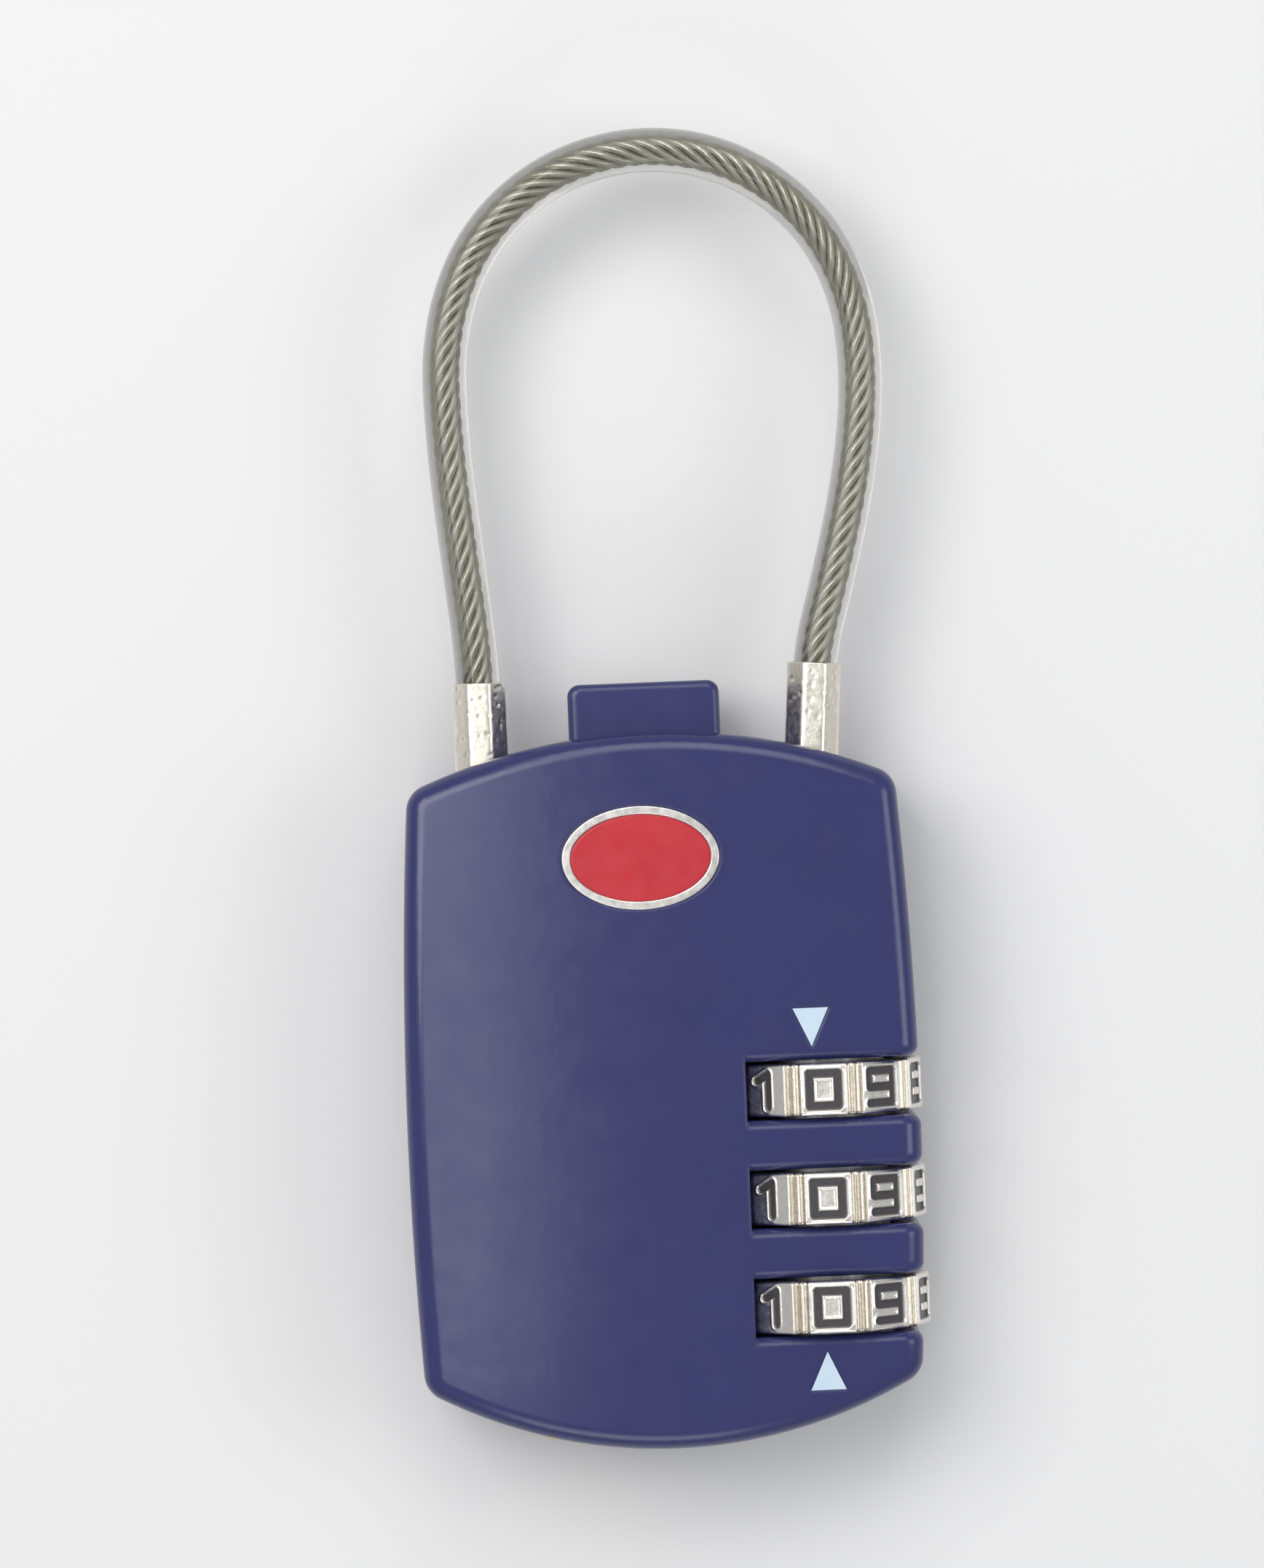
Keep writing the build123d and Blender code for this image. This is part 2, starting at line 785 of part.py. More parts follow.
def cable():
    """The steel core and the clear jacket round it, both along the same centre line."""
    path = cable_path()
    end = Plane(path @ 0, z_dir=path % 0)
    core = sweep(end * Circle(core_radius), path=path)
    ring = Circle(jacket_radius) - Circle(core_radius + jacket_gap)
    jacket = sweep(end * ring, path=path)
    share = core.volume / (math.pi * core_radius**2 * path.length)
    print("cable length:", round(path.length, 2), "core volume over section times length:", round(share, 4))
    return core, jacket


def latch_clip():
    """A U of spring steel whose legs lie on both sides of the free end's neck."""
    inner = clip_gap
    outer = clip_gap + clip_thickness
    legs = [
        block(clip_end_x, clip_bend_x, clip_y, clip_y + clip_width, mid_z + inner, mid_z + outer),
        block(clip_end_x, clip_bend_x, clip_y, clip_y + clip_width, mid_z - outer, mid_z - inner),
    ]
    high = clip_y + clip_width
    ring = rod(clip_bend_x, clip_y, high, outer) - rod(clip_bend_x, clip_y - 1, high + 1, inner)
    bend = ring & block(clip_bend_x, clip_bend_x + outer, clip_y - 1, high + 1, 0, front_apex_z)
    return bend + legs


def ejector_pin():
    """The headed pin that lifts the loose end when the latch opens."""
    head = rod(free_end_x, ejector_head_y, ejector_top_y, ejector_head_radius)
    return head + rod(free_end_x, ejector_head_y - ejector_stem_length, ejector_head_y, ejector_stem_radius)


def ejector_spring():
    """The spring under the ejector pin's head."""
    wire = ejector_spring_wire
    turns = ejector_spring_turns
    return spring_along_y(free_end_x, ejector_floor_y, ejector_head_y, ejector_spring_radius, wire, turns)


def key_barrel():
    """The lock barrel: a tube with an end wall."""
    inside = plug_radius + running_gap
    tube = rod(key_x, barrel_bottom_y, barrel_top_y, barrel_radius)
    tube -= rod(key_x, barrel_bottom_y - 1, barrel_top_y - barrel_end_wall, inside)
    return tube - rod(key_x, barrel_top_y - 2, barrel_top_y + 1, tail_radius + running_gap)


def wafer_places():
    """Where the wafers stand along the plug."""
    return [wafer_first_y + wafer_pitch * n for n in range(wafer_count)]


def key_plug():
    """The turning plug with its keyway, wafer slots, tail and cam."""
    low = barrel_bottom_y + plug_recess
    high = barrel_top_y - barrel_end_wall - running_gap
    plug = rod(key_x, low, high, plug_radius)
    half_way = keyway_width / 2
    plug -= flat_block(key_x - half_way, key_x + half_way, low - 1, high - 1, keyway_height)
    slot = wafer_width / 2 + running_gap
    slot_height = wafer_height + 2 * running_gap
    for y in wafer_places():
        reach = wafer_thickness / 2 + running_gap
        plug -= flat_block(key_x - slot, key_x + slot, y - reach, y + reach, slot_height)
    tail = rod(key_x, high - 0.1, tail_top_y, tail_radius)
    cam_low = tail_top_y - cam_height
    cam_block = flat_block(
        key_x - cam_half_width, key_x + cam_half_width, cam_low, tail_top_y, 2 * cam_half_height
    )
    cam = cam_block & rod(key_x, cam_low, tail_top_y, cam_half_height)
    cam = Pos(key_x, 0, mid_z) * Rot(0, 90, 0) * Pos(-key_x, 0, -mid_z) * cam
    return plug + tail + cam


def key_wafers():
    """Spring-plate wafers in the plug, each with a window for the key."""
    wafers = []
    half = wafer_width / 2
    window = keyway_width / 2 + running_gap
    for y in wafer_places():
        low = y - wafer_thickness / 2
        high = y + wafer_thickness / 2
        plate = flat_block(key_x - half, key_x + half, low, high, wafer_height)
        wafers.append(plate - flat_block(key_x - window, key_x + window, low - 1, high + 1, keyway_height))
    return wafers


def reset_pin():
    """The recessed pin on the left side that frees the code for setting."""
    outer = bar_x(-half_width_mid + reset_recess, reset_flange_x, reset_y, reset_radius)
    flange = bar_x(reset_flange_x, reset_flange_x + reset_flange_thickness, reset_y, reset_flange_radius)
    stem = bar_x(reset_flange_x + reset_flange_thickness, reset_stem_end_x, reset_y, reset_stem_radius)
    return outer + flange + stem


def reset_spring():
    """The reset pin's return spring, along X."""
    low = reset_flange_x + reset_flange_thickness
    coil = spring(reset_spring_radius, reset_spring_wire, reset_floor_x - low, reset_spring_turns)
    return Pos(low, reset_y, mid_z) * Rot(0, 90, 0) * coil


def write(name, shape):
    """Write one sub-part, or a group of separate solids, as parts/NAME.step."""
    solids = shape if isinstance(shape, list) else list(shape.solids())
    solids = [solid for piece in solids for solid in piece.solids()]
    export_step(solids[0] if len(solids) == 1 else Compound(children=solids), f"parts/{name}.step")


os.makedirs("parts", exist_ok=True)
rear_shell, front_shell = shells()
badge_rim, badge_enamel = badge()
cable_core, cable_jacket = cable()
write("rear_shell", rear_shell)
write("front_shell", front_shell)
write("case_pins", case_pins())
write("badge_rim", badge_rim)
write("badge_enamel", badge_enamel)
write("index_marks", index_marks())
write("release_button", release_button())
write("carriage", carriage())
write("code_spindle", code_spindle())
write("button_spring", button_spring())
for number, place in enumerate(dial_places, start=1):
    write(f"dial_{number}", turned_onto_axis(dial(), place))
    write(f"code_sleeve_{number}", turned_onto_axis(code_sleeve(), place))
write("detent_spring", detent_spring())
write("fixed_end_fitting", fixed_end_fitting())
write("free_end_fitting", free_end_fitting())
write("cable_core", cable_core)
write("cable_jacket", cable_jacket)
write("latch_clip", latch_clip())
write("ejector_pin", ejector_pin())
write("ejector_spring", ejector_spring())
write("key_barrel", key_barrel())
write("key_plug", key_plug())
write("key_wafers", key_wafers())
write("reset_pin", reset_pin())
write("reset_spring", reset_spring())
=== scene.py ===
"""Three-dial cable padlock for luggage: finishes, digit wheels, crimped ferrules and the stranded cable.

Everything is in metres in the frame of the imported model: X to the dials, Y to the cable loop, Z out of the
front. The profiles, the crimps and the wheels are worked out in millimetres and scaled by MM.
"""
import json
import math

import bpy
import numpy as np
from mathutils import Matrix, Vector


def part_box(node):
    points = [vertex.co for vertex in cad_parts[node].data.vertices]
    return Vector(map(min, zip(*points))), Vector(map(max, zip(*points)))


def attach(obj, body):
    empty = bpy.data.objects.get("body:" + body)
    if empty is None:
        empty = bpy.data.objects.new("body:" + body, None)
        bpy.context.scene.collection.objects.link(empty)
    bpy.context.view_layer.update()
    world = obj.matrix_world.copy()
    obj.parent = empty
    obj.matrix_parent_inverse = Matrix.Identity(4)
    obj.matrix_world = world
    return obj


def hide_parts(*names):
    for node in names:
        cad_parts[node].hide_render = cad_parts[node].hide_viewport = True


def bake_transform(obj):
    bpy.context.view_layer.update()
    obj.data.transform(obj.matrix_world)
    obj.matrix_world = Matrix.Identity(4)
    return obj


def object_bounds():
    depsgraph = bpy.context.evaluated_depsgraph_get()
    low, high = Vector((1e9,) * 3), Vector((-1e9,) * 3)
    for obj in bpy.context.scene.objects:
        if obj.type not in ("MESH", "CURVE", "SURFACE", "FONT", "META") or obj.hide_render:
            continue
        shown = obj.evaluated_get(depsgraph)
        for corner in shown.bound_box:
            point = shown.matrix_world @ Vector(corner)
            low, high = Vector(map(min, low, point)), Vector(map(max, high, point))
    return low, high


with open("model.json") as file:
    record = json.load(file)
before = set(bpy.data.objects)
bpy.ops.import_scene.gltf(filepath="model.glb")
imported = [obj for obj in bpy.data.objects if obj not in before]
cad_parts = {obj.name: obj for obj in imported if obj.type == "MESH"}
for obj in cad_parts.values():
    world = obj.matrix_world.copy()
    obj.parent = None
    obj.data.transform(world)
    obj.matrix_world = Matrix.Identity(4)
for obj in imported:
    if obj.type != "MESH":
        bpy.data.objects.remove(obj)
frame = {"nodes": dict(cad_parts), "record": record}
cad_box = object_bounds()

MM = 0.001

# the middle plane, where the two shells meet and the cable and the dials' axis lie
mid_z = float(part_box("rear_shell")[1][2])


# ---------------------------------------------------------------- camera, light and floor

ROLL = math.radians(2.3)
CAMERA_HEIGHT = 0.42
FRAME_HEIGHT = 0.103
FRAME_CENTRE = (-0.0012, 0.0200)
SENSOR_MM = 36.0
NEAREST_SEEN = 0.01
FARTHEST_SEEN = 10
AMBIENT = 0.48
TABLE_HALF = 2.0
TABLE_TONE = 0.74
TABLE_ROUGHNESS = 0.7


def make_camera():
    """A camera straight above, rolled so that the loop leans a little to the left."""
    data = bpy.data.cameras.new("camera")
    data.sensor_fit = "VERTICAL"
    data.sensor_height = SENSOR_MM
    data.lens = SENSOR_MM * CAMERA_HEIGHT / FRAME_HEIGHT
    data.clip_start = NEAREST_SEEN
    data.clip_end = FARTHEST_SEEN
    camera = bpy.data.objects.new("camera", data)
    camera.location = (*FRAME_CENTRE, CAMERA_HEIGHT + mid_z)
    camera.rotation_euler = (0, 0, -ROLL)
    bpy.context.collection.objects.link(camera)
    bpy.context.scene.camera = camera


def area_light(name, place, aim, size, power, colour, length=None):
    """A soft box at a place, turned to a point; it is square unless it has a length of its own."""
    data = bpy.data.lights.new(name, "AREA")
    data.shape = "RECTANGLE"
    data.size = size
    data.size_y = length or size
    data.energy = power
    data.color = colour
    light = bpy.data.objects.new(name, data)
    light.location = place
    light.rotation_euler = (Vector(aim) - Vector(place)).to_track_quat("-Z", "Y").to_euler()
    bpy.context.collection.objects.link(light)


def make_lights():
    """A big soft box from the upper left, weaker ones from three other sides, and a pale surround.

    A tall box high on the left adds the soft sheen along the paint.
    """
    area_light("key_box", (-0.20, 0.16, 0.40), (0, 0.01, 0), 0.26, 0.95, (1.0, 0.985, 0.96))
    area_light("top_box", (0.02, 0.30, 0.36), (0, 0.02, 0), 0.22, 0.40, (1.0, 0.99, 0.97))
    area_light("right_box", (0.30, 0.02, 0.30), (0, 0.01, 0), 0.20, 0.32, (0.96, 0.98, 1.0))
    area_light("low_box", (-0.04, -0.34, 0.26), (0, 0.0, 0), 0.18, 0.22, (1.0, 0.99, 0.97))
    area_light("sheen_box", (-0.135, 0.02, 0.80), (-0.135, 0.0201, 0), 0.11, 0.42, (1.0, 1.0, 1.0), 0.50)
    world = bpy.data.worlds.new("studio")
    world.use_nodes = True
    background = world.node_tree.nodes["Background"]
    background.inputs["Color"].default_value = (0.95, 0.96, 1.0, 1)
    background.inputs["Strength"].default_value = AMBIENT
    bpy.context.scene.world = world
    bpy.context.scene.view_settings.view_transform = "Standard"


def make_floor():
    """A pale table that the padlock lies on."""
    mesh = bpy.data.meshes.new("table")
    corners = [(TABLE_HALF * x, TABLE_HALF * y, 0) for x, y in ((-1, -1), (1, -1), (1, 1), (-1, 1))]
    mesh.from_pydata(corners, [], [(0, 1, 2, 3)])
    table = bpy.data.objects.new("table", mesh)
    table.location = (0, 0, float(cad_box[0][2]))
    bpy.context.collection.objects.link(table)
    finish = bpy.data.materials.new("pale_table")
    finish.use_nodes = True
    shader = finish.node_tree.nodes["Principled BSDF"]
    shader.inputs["Base Color"].default_value = (TABLE_TONE, TABLE_TONE, TABLE_TONE, 1)
    shader.inputs["Roughness"].default_value = TABLE_ROUGHNESS
    mesh.materials.append(finish)


# ---------------------------------------------------------------- mesh helpers


def wrapped_grid(rings, around, closed_along=False):
    """Quads of a grid of rings, each wrapped round; the rings may close on themselves too."""
    along = rings if closed_along else rings - 1
    first, second = np.meshgrid(np.arange(along), np.arange(around), indexing="ij")
    next_ring = (first + 1) % rings
    next_round = (second + 1) % around
    a = first * around + second
    b = first * around + next_round
    c = next_ring * around + next_round
    d = next_ring * around + second
    return np.stack([a, b, c, d], axis=-1).reshape(-1, 4)


def new_piece(name, points, quads, caps=(), smooth=True):
    """A mesh object from an array of points, an array of quads and a few polygons that close its ends."""
    mesh = bpy.data.meshes.new(name)
    faces = [tuple(face) for face in (*quads.tolist(), *caps)]
    mesh.from_pydata(points.reshape(-1, 3), [], faces)
    mesh.polygons.foreach_set("use_smooth", np.full(len(mesh.polygons), smooth))
    mesh.update()
    piece = bpy.data.objects.new(name, mesh)
    bpy.context.collection.objects.link(piece)
    return piece


def point_value(piece, name, values):
    """Store one number for each point of a mesh, for its material to read."""
    attribute = piece.data.attributes.new(name, "FLOAT", "POINT")
    attribute.data.foreach_set("value", values.reshape(-1).astype(np.float32))


def smooth_step(low, high, value):
    """0 below low, 1 above high, and a smooth cubic ramp between them."""
    t = np.clip((value - low) / (high - low), 0, 1)
    return t * t * (3 - 2 * t)


# ---------------------------------------------------------------- cable

# the points that control the cable's line, in millimetres, from the fixed end round to the loose one
CABLE_ROUTE = [
    (10.90, 25.19), (11.10, 28.08), (12.5, 32.8), (14.2, 39.6), (15.0, 45.9), (14.5, 51.9),
    (11.7, 57.2), (6.6, 60.9), (0.4, 61.9), (-5.7, 60.1), (-10.3, 55.8), (-12.5, 49.7),
    (-12.4, 42.6), (-11.7, 35.2), (-11.0, 28.3), (-11.0, 24.7),
]
SPLINE_STEPS = 40
CABLE_STEPS = 460
JACKET_RADIUS = 1.45 * MM
JACKET_AROUND = 40
STRAND_AROUND = 24
STRAND_COUNT = 6
STRAND_RADIUS = 0.225 * MM
STRAND_CIRCLE = 0.455 * MM
STRAND_LAY = 7.0 * MM
STRAND_WIRES = 6
WIRE_RELIEF = 0.10
WIRE_LAY = 3.0 * MM


def cable_line():
    """Points along the smooth spline that the route's points control."""
    curve = bpy.data.curves.new("cable_line", "CURVE")
    curve.dimensions = "3D"
    curve.resolution_u = SPLINE_STEPS
    spline = curve.splines.new("NURBS")
    spline.points.add(len(CABLE_ROUTE) - 1)
    for point, (x, y) in zip(spline.points, CABLE_ROUTE):
        point.co = (x * MM, y * MM, mid_z, 1)
    spline.order_u = 3
    spline.use_endpoint_u = True
    holder = bpy.data.objects.new("cable_line", curve)
    bpy.context.collection.objects.link(holder)
    bpy.context.view_layer.update()
    mesh = bpy.data.meshes.new_from_object(holder)
    line = np.array([tuple(vertex.co) for vertex in mesh.vertices])
    bpy.data.objects.remove(holder)
    bpy.data.meshes.remove(mesh)
    return line


def evenly_spaced(line, count):
    """The same line with points a fixed length apart, and the length along it at each."""
    steps = np.linalg.norm(np.diff(line, axis=0), axis=1)
    run = np.concatenate([[0], np.cumsum(steps)])
    along = np.linspace(0, run[-1], count)
    points = np.stack([np.interp(along, run, line[:, axis]) for axis in range(3)], axis=1)
    return points, along


def side_vectors(points):
    """At each point of a flat line, the sideways direction in its plane, and straight up."""
    heading = np.gradient(points, axis=0)
    heading /= np.linalg.norm(heading, axis=1, keepdims=True)
    up = np.zeros_like(heading)
    up[:, 2] = 1
    return np.cross(heading, up), up


def unit_rings(side, up, turn):
    """A circle of radius 1 at each point of a line, square to it."""
    return np.cos(turn)[None, :, None] * side[:, None, :] + np.sin(turn)[None, :, None] * up[:, None, :]


def end_caps(count, around, base=0):
    """The two polygons that close a tube of count rings, whose first point has the number base."""
    last = base + (count - 1) * around
    return [tuple(range(base, base + around)), tuple(range(last + around - 1, last - 1, -1))]


def tube(name, points, radius, around):
    """A closed tube: at each point a circle, square to the line, with flat ends."""
    side, up = side_vectors(points)
    turn = np.linspace(0, 2 * np.pi, around, endpoint=False)
    skin = points[:, None, :] + radius * unit_rings(side, up, turn)
    quads = wrapped_grid(len(points), around)[:, ::-1]
    return new_piece(name, skin, quads, end_caps(len(points), around))


def cable_strands(points, along):
    """Six strands twisted to the right, each a tube with six wires showing, twisted the other way.

    A strand's middle runs on a helix about the cable's line, and its radius swells with the cosine of six
    times the angle round it, which makes the wires.
    """
    side, up = side_vectors(points)
    turn = np.linspace(0, 2 * np.pi, STRAND_AROUND, endpoint=False)
    ring = unit_rings(side, up, turn)
    skins = []
    faces = []
    caps = []
    for strand in range(STRAND_COUNT):
        twist = -2 * np.pi * (along / STRAND_LAY + strand / STRAND_COUNT)
        out = np.cos(twist)[:, None] * side + np.sin(twist)[:, None] * up
        middle = points + STRAND_CIRCLE * out
        wires = turn[None, :] - 2 * np.pi * along[:, None] / WIRE_LAY
        radius = STRAND_RADIUS * (1 + WIRE_RELIEF * np.cos(STRAND_WIRES * wires))
        base = strand * len(points) * STRAND_AROUND
        skins.append(middle[:, None, :] + radius[:, :, None] * ring)
        faces.append(wrapped_grid(len(points), STRAND_AROUND)[:, ::-1] + base)
        caps.extend(end_caps(len(points), STRAND_AROUND, base))
    return new_piece("cable_strands", np.stack(skins), np.concatenate(faces), caps)


def make_cable():
    """The clear jacket and the steel strands in it, from the fixed end round to the loose one."""
    line = cable_line()
    fine, along = evenly_spaced(line, CABLE_STEPS)
    jacket = tube("cable_clear_jacket", fine, JACKET_RADIUS, JACKET_AROUND)
    strands = cable_strands(fine, along)
    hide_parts("cable_jacket")
    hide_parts("cable_core")
    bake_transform(jacket)
    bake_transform(strands)
    return jacket, strands


# ---------------------------------------------------------------- cable ends

# each turned end in millimetres: height above its tip, and radius
FREE_PIN = [(0.0, 0.75), (0.9, 1.65), (2.9, 1.65), (2.9, 1.0), (4.3, 1.0), (4.3, 1.65), (8.4, 1.65)]
ANCHOR = [(0.0, 1.65), (3.0, 1.65), (3.0, 2.3), (4.6, 2.3), (4.6, 1.65), (8.9, 1.65)]
PROFILE_EASE = 0.07
EASE_PULL = 0.29
CRIMP_HALF = 1.75
CRIMP_SHARPNESS = 34
CRIMP_MOUTH = 1.47
CRIMP_MOUTH_DEPTH = 0.6
MOUTH_FLARE = 0.1
CRIMP_EDGE = 0.13
CRIMP_BURR = 0.09
CRIMP_ROWS = 84
FITTING_AROUND = 160
PIT_COUNT = 90
PIT_DEPTH = 0.035
PIT_SIZES = (0.07, 0.17)
PIT_CROWDING = 0.6
WAVES_ROUND_TOP = (5, 8, 13, 21)
# the crimp's top edge, as shares of CRIMP_EDGE: how far in from the flats, and how far below the top
TOP_EDGE = ((0.3, 0.3), (0.6, 0.1), (1.0, 0.0))
LEAN_STARTS_ABOVE = 0.01
ANCHOR_LEAN = math.radians(4.0)


def eased_profile(profile, ease):
    """The same profile with each inner corner cut into three points, one each side of it and one between."""
    points = [profile[0]]
    for before, corner, after in zip(profile, profile[1:], profile[2:]):
        before, corner, after = (np.array(point, float) for point in (before, corner, after))
        back = (before - corner) / np.linalg.norm(before - corner)
        ahead = (after - corner) / np.linalg.norm(after - corner)
        points.append(tuple(corner + ease * back))
        points.append(tuple(corner + EASE_PULL * ease * (back + ahead)))
        points.append(tuple(corner + ease * ahead))
    points.append(profile[-1])
    return np.array(points)


def crimp_radius(turn, half_width):
    """Radius round an eight-sided section with eased corners: a high norm over its four pairs of flats."""
    total = sum(np.abs(np.cos(turn - pair * np.pi / 4)) ** CRIMP_SHARPNESS for pair in range(4))
    return half_width * total ** (-1 / CRIMP_SHARPNESS)


def pitting(heights, turns, length, seed):
    """Depth of shallow round pits, scattered over a crimp and denser near its top."""
    scatter = np.random.default_rng(seed)
    depth = np.zeros(np.broadcast(heights, turns).shape)
    shares = scatter.random(PIT_COUNT) ** PIT_CROWDING
    angles = scatter.uniform(-np.pi, np.pi, PIT_COUNT)
    sizes = scatter.uniform(*PIT_SIZES, PIT_COUNT)
    for share, angle, size in zip(shares, angles, sizes):
        across = np.angle(np.exp(1j * (turns - angle))) * CRIMP_HALF
        near = ((heights - share * length) ** 2 + across**2) / size**2
        depth += PIT_DEPTH * np.exp(-near)
    return depth


def cable_end(name, node, body, axis_x, profile, lean, seed):
    """A turned end below an eight-sided crimp with a mouth for the cable.

    Rings follow the end's own line, which may lean from the crimp's foot up. A ring is a circle on the
    turned part and the eased octagon on the crimp, less its pits. The crimp's top edge wavers where it was
    pressed.
    """
    low, high = (np.array(corner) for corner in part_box(node))
    turned = eased_profile(profile, PROFILE_EASE)
    foot = profile[-1][0]
    crimp_length = (high[1] - low[1]) / MM - foot
    if lean:
        crimp_length = (crimp_length - CRIMP_HALF * math.sin(lean)) / math.cos(lean)
    turn = np.linspace(-np.pi, np.pi, FITTING_AROUND, endpoint=False)
    climb = np.linspace(0, crimp_length - CRIMP_EDGE, CRIMP_ROWS)
    rings = [np.broadcast_to(radius, turn.shape) for _, radius in turned]
    heights = [np.broadcast_to(height, turn.shape) for height, _ in turned]
    eight = crimp_radius(turn, CRIMP_HALF)
    pits = pitting(climb[:, None], turn[None, :], crimp_length, seed)
    for row, height in enumerate(climb):
        ease = 1 - CRIMP_EDGE / CRIMP_HALF * (1 - smooth_step(0, CRIMP_EDGE, height))
        rings.append(eight * ease - pits[row])
        heights.append(np.broadcast_to(foot + height, turn.shape))
    scatter = np.random.default_rng(seed + 1)
    waver = sum(np.cos(k * turn + scatter.uniform(0, 6.28)) / k for k in WAVES_ROUND_TOP) * CRIMP_BURR / 2
    rim = foot + crimp_length - CRIMP_BURR
    for inset, drop in TOP_EDGE:
        rings.append(eight - inset * CRIMP_EDGE)
        heights.append(rim - drop * CRIMP_EDGE + np.minimum(waver, CRIMP_BURR) * (1 - drop))
    for drop, flare in ((0.0, MOUTH_FLARE), (MOUTH_FLARE, 0.0), (CRIMP_MOUTH_DEPTH, 0.0)):
        rings.append(np.full(turn.shape, CRIMP_MOUTH + flare))
        heights.append(np.full(turn.shape, foot + crimp_length - 2 * CRIMP_BURR - drop))
    rings, heights = np.array(rings), np.array(heights)
    rise = np.maximum(heights - foot, 0)
    tilt = np.where(heights > foot + LEAN_STARTS_ABOVE, lean, 0.0)
    sideways = rings * np.sin(turn)
    points = np.stack(
        [
            axis_x + MM * (rise * math.sin(lean) + sideways * np.cos(tilt)),
            low[1] + MM * (np.minimum(heights, foot) + rise * math.cos(lean) - sideways * np.sin(tilt)),
            mid_z + MM * rings * np.cos(turn),
        ],
        axis=-1,
    )
    last = (len(rings) - 1) * FITTING_AROUND
    caps = [tuple(range(FITTING_AROUND - 1, -1, -1)), tuple(range(last, last + FITTING_AROUND))]
    end = new_piece(name, points, wrapped_grid(len(rings), FITTING_AROUND), caps)
    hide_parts(node)
    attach(end, body)
    return end


def make_cable_ends():
    """The loose end over its plug hole, and the anchored end with its leaning crimp."""
    low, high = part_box("free_end_fitting")
    free_x = (low[0] + high[0]) / 2
    anchor_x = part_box("fixed_end_fitting")[0][0] + ANCHOR[3][1] * MM
    return [
        cable_end("loose_end", "free_end_fitting", "free_end", free_x, FREE_PIN, 0.0, 11),
        cable_end("anchored_end", "fixed_end_fitting", "case", anchor_x, ANCHOR, ANCHOR_LEAN, 23),
    ]


# ---------------------------------------------------------------- digit wheels

DIGIT_COUNT = 10
DIGIT_STEP = 2 * math.pi / DIGIT_COUNT
WHEEL_AROUND = 1080
WHEEL_ROWS = 66
ROWS_TO_EDGES = 0.15
WHEEL_BORE = 5.0
WHEEL_SIDE = 5.9
WHEEL_EDGE = 0.22
PAD_HALF = 1.50
FLUTE_WALL = 0.2
FLUTE_DEPTH = 0.28
RIB_HEIGHT = 0.13
RIB_WIDTH = 0.13
DIGIT_HALF_WIDTH = 0.95
DIGIT_HALF_HEIGHT = 1.05
STROKE_HALF = 0.28
ENGRAVE_DEPTH = 0.16
LIP_HEIGHT = 0.055
LIP_WIDTH = 0.17
NO_STROKE_NEAR = 9.0
# how far the groove's wall and the edge of its black filling spread to each side of the stroke's edge
GROOVE_WALL = (0.05, 0.03)
FILL_EDGE = (0.03, 0.02)

# each digit's strokes on a lattice two wide and four high
DIGIT_STROKES = {
    0: [[(0, 0), (2, 0), (2, 4), (0, 4), (0, 0)]],
    1: [[(0.3, 3.2), (1.2, 4), (1.2, 0)]],
    2: [[(0, 4), (2, 4), (2, 2), (0, 2), (0, 0), (2, 0)]],
    3: [[(0, 4), (2, 4), (2, 2), (0.6, 2)], [(2, 2), (2, 0), (0, 0)]],
    4: [[(1.5, 0), (1.5, 4), (0, 1.3), (2.1, 1.3)]],
    5: [[(2, 4), (0, 4), (0, 2), (2, 2), (2, 0), (0, 0)]],
    6: [[(2, 4), (0, 4), (0, 0), (2, 0), (2, 2), (0, 2)]],
    7: [[(0, 4), (2, 4), (0.8, 0)]],
    8: [[(0, 0), (2, 0), (2, 4), (0, 4), (0, 0)], [(0, 2), (2, 2)]],
    9: [[(2, 2), (0, 2), (0, 4), (2, 4), (2, 0), (0, 0)]],
}


def stroke_distance(digit, across, height):
    """Distance in millimetres from each place on a pad to the nearest stroke's middle line."""
    best = np.full(np.shape(across), NO_STROKE_NEAR)
    for stroke in DIGIT_STROKES[digit]:
        corners = [((x - 1) * DIGIT_HALF_WIDTH, (y - 2) / 2 * DIGIT_HALF_HEIGHT) for x, y in stroke]
        for (ax, ay), (bx, by) in zip(corners, corners[1:]):
            dx, dy = bx - ax, by - ay
            t = np.clip(((across - ax) * dx + (height - ay) * dy) / (dx * dx + dy * dy), 0, 1)
            best = np.minimum(best, np.hypot(across - ax - t * dx, height - ay - t * dy))
    return best


